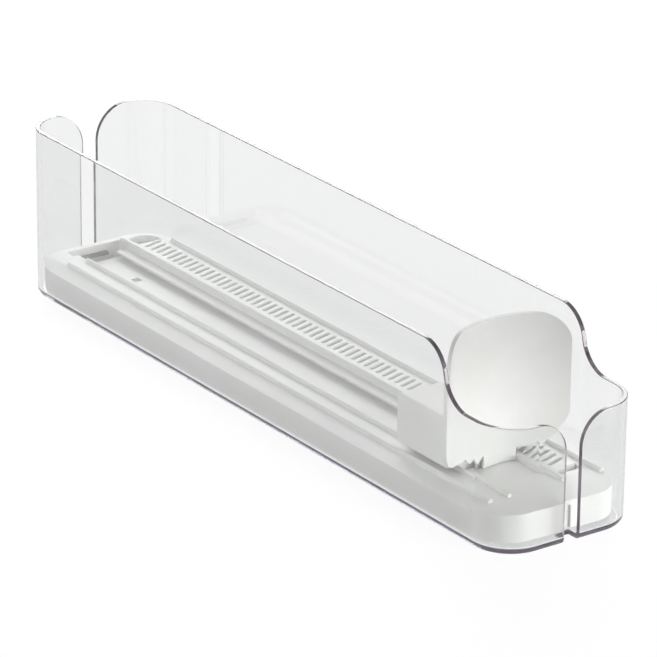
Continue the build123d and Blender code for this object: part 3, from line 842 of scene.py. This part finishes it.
@dataclass
class Pusher:
    """The pusher's panel, housing and carriage."""

    panel_edge: float = 0.8 * MM
    panel_steps: int = 4
    housing_edge: float = 0.5 * MM
    housing_steps: int = 3
    carriage_edge: float = 0.25 * MM

    def build(self, finishes: Finishes) -> None:
        """Makes the pusher's outer pieces.

        Args:
            finishes: The materials.
        """
        pieces = (
            MouldedPiece(
                "pusher_panel", "concave_panel", Slot.WHITE, Body.PUSHER, self.panel_edge, self.panel_steps
            ),
            MouldedPiece(
                "pusher_housing",
                "housing_shell",
                Slot.WHITE,
                Body.PUSHER,
                self.housing_edge,
                self.housing_steps,
            ),
            MouldedPiece("carriage", "sliding_carriage", Slot.WHITE, Body.PUSHER, self.carriage_edge),
        )
        for piece in pieces:
            piece.build(finishes)


class InnerWorks:
    """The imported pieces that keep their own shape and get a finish."""

    FINISH = {
        Slot.SOFT: ("track_pads", "front_bumper", "rear_bumper"),
        Slot.ZINC: ("stop_screw", "panel_screws", "housing_screws", "drive_axle"),
        Slot.GEAR: ("axle_bushes", "drive_pinion", "spring_arbor", "spring_barrel", "barrel_lid"),
        Slot.SPRING: ("axle_clips", "mainspring"),
    }

    def build(self, finishes: Finishes) -> None:
        """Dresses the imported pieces.

        Args:
            finishes: The materials.
        """
        for slot, nodes in self.FINISH.items():
            for node in nodes:
                finishes.dress(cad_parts[node], slot)
                LOG.info("%s: %s", node, slot.value)


# ------------------------------------------------------------------ studio
@dataclass
class Camera:
    """The photograph's viewing angle."""

    aim: Vector
    azimuth: float = -35.46
    elevation: float = 22.05
    distance: float = 2.1295
    roll: float = 0.68
    lens: float = 245.2
    sensor: float = 36.0
    farthest: float = 50.0

    def build(self) -> None:
        """Makes the camera and makes it the scene's own."""
        data = bpy.data.cameras.new("camera")
        data.lens = self.lens
        data.sensor_width = self.sensor
        data.clip_end = self.farthest
        camera = bpy.data.objects.new("camera", data)
        bpy.context.scene.collection.objects.link(camera)
        turn, rise = math.radians(self.azimuth), math.radians(self.elevation)
        back = Vector(
            (math.sin(turn) * math.cos(rise), -math.cos(turn) * math.cos(rise), math.sin(rise))
        )
        camera.rotation_mode = "QUATERNION"
        upright = (-back).to_track_quat("-Z", "Y").to_matrix()
        tilt = Matrix.Rotation(math.radians(self.roll), 3, "Z")
        camera.rotation_quaternion = (upright @ tilt).to_quaternion()
        camera.location = self.aim + back * self.distance
        bpy.context.scene.camera = camera


@dataclass
class Softbox:
    """A large square lamp that looks at a point."""

    name: str
    place: Vector
    aim: Vector
    size: float
    power: float

    def build(self) -> None:
        """Makes the lamp."""
        data = bpy.data.lights.new(self.name, "AREA")
        data.shape = "SQUARE"
        data.size = self.size
        data.energy = self.power
        lamp = bpy.data.objects.new(self.name, data)
        bpy.context.scene.collection.objects.link(lamp)
        lamp.location = self.place
        lamp.rotation_mode = "QUATERNION"
        lamp.rotation_quaternion = (self.aim - self.place).to_track_quat("-Z", "Y")


@dataclass
class Studio:
    """White floor, white surroundings with a dark ceiling for reflections, and soft lamps."""

    camera_aim: Vector
    object_middle: Vector
    object_front: Vector
    floor_size: float = 12.0
    floor_gap: float = 0.3 * MM
    floor_bounce: float = 0.5
    floor_grey: float = 0.18
    floor_glow: float = 0.89
    ambient: float = 0.40
    ceiling: float = 0.30
    ceiling_from: float = 0.42
    ceiling_to: float = 0.58

    def seen_rays(self, nodes: bpy.types.Nodes, links: bpy.types.NodeLinks) -> bpy.types.NodeSocket:
        """A number that is 1 for rays from the camera, from glossy surfaces and through clear ones.

        Args:
            nodes: The tree's nodes.
            links: The tree's links.

        Returns:
            The number.
        """
        ray = nodes.new("ShaderNodeLightPath")
        names = ("Is Camera Ray", "Is Glossy Ray", "Is Transmission Ray")
        total = ray.outputs[names[0]]
        for name in names[1:]:
            either = nodes.new("ShaderNodeMath")
            either.operation = "MAXIMUM"
            links.new(total, either.inputs[0])
            links.new(ray.outputs[name], either.inputs[1])
            total = either.outputs["Value"]
        return total

    def floor(self) -> None:
        """The white floor, which keeps the object's shadow."""
        bpy.ops.object.select_all(action="DESELECT")
        bpy.ops.mesh.primitive_plane_add(size=self.floor_size, location=(0, 0, -self.floor_gap))
        plane = bpy.context.object
        plane.name = "studio_floor"
        bench = NodeBench("studio_floor")
        seen = self.seen_rays(bench.nodes, bench.links)
        paper = bench.nodes.new("ShaderNodeBsdfDiffuse")
        bench.links.new(bench.between(seen, self.floor_bounce, self.floor_grey), paper.inputs["Color"])
        glow = bench.nodes.new("ShaderNodeEmission")
        strength = bench.nodes.new("ShaderNodeMath")
        strength.operation = "MULTIPLY"
        strength.inputs[1].default_value = self.floor_glow
        both = bench.nodes.new("ShaderNodeAddShader")
        bench.links.new(seen, strength.inputs[0])
        bench.links.new(strength.outputs["Value"], glow.inputs["Strength"])
        bench.links.new(paper.outputs["BSDF"], both.inputs[0])
        bench.links.new(glow.outputs["Emission"], both.inputs[1])
        bench.links.new(both.outputs["Shader"], bench.output.inputs["Surface"])
        plane.data.materials.append(bench.material)

    def surroundings(self) -> None:
        """The world: even soft light, seen as white, with a dark ceiling that only reflections meet."""
        world = bpy.data.worlds.new("studio")
        bpy.context.scene.world = world
        world.use_nodes = True
        nodes, links = world.node_tree.nodes, world.node_tree.links
        nodes.clear()
        output = nodes.new("ShaderNodeOutputWorld")
        ray = nodes.new("ShaderNodeLightPath")
        split = nodes.new("ShaderNodeSeparateXYZ")
        links.new(nodes.new("ShaderNodeTexCoord").outputs["Generated"], split.inputs["Vector"])
        height = nodes.new("ShaderNodeMapRange")
        height.inputs["From Min"].default_value = self.ceiling_from
        height.inputs["From Max"].default_value = self.ceiling_to
        height.inputs["To Min"].default_value = 1.0
        height.inputs["To Max"].default_value = self.ceiling
        links.new(split.outputs["Z"], height.inputs["Value"])
        seen = nodes.new("ShaderNodeMix")
        seen.data_type = "FLOAT"
        seen.inputs["B"].default_value = 1.0
        links.new(ray.outputs["Is Camera Ray"], seen.inputs["Factor"])
        links.new(height.outputs["Result"], seen.inputs["A"])
        level = nodes.new("ShaderNodeMix")
        level.data_type = "FLOAT"
        level.inputs["A"].default_value = self.ambient
        links.new(self.seen_rays(nodes, links), level.inputs["Factor"])
        links.new(seen.outputs["Result"], level.inputs["B"])
        background = nodes.new("ShaderNodeBackground")
        links.new(level.outputs["Result"], background.inputs["Strength"])
        links.new(background.outputs["Background"], output.inputs["Surface"])

    def build(self) -> None:
        """Makes the floor, the surroundings, the lamps and the camera."""
        self.floor()
        self.surroundings()
        lamps = (
            Softbox("rear_softbox", Vector((0.80, 1.25, 0.80)), self.object_middle, 0.95, 13.0),
            Softbox("front_softbox", Vector((0.92, -1.5, 0.22)), self.object_front, 0.7, 16.0),
            Softbox("side_softbox", Vector((-1.4, -0.2, 0.9)), self.object_middle, 1.0, 4.5),
        )
        for lamp in lamps:
            lamp.build()
        Camera(aim=self.camera_aim).build()


def main() -> None:
    """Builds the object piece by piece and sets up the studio."""
    logging.basicConfig(level=logging.INFO, format="%(name)s: %(message)s")
    bpy.context.scene.view_settings.view_transform = "Standard"
    finishes = Finishes()
    ClearBin().build(finishes)
    Track().build(finishes)
    Pusher().build(finishes)
    InnerWorks().build(finishes)
    studio = Studio(
        camera_aim=Vector((0.00631, -0.00286, 0.035)),
        object_middle=Vector((0, 0, 0.03)),
        object_front=Vector((0, -0.1, 0.03)),
    )
    studio.build()


if __name__ == "__main__":
    main()
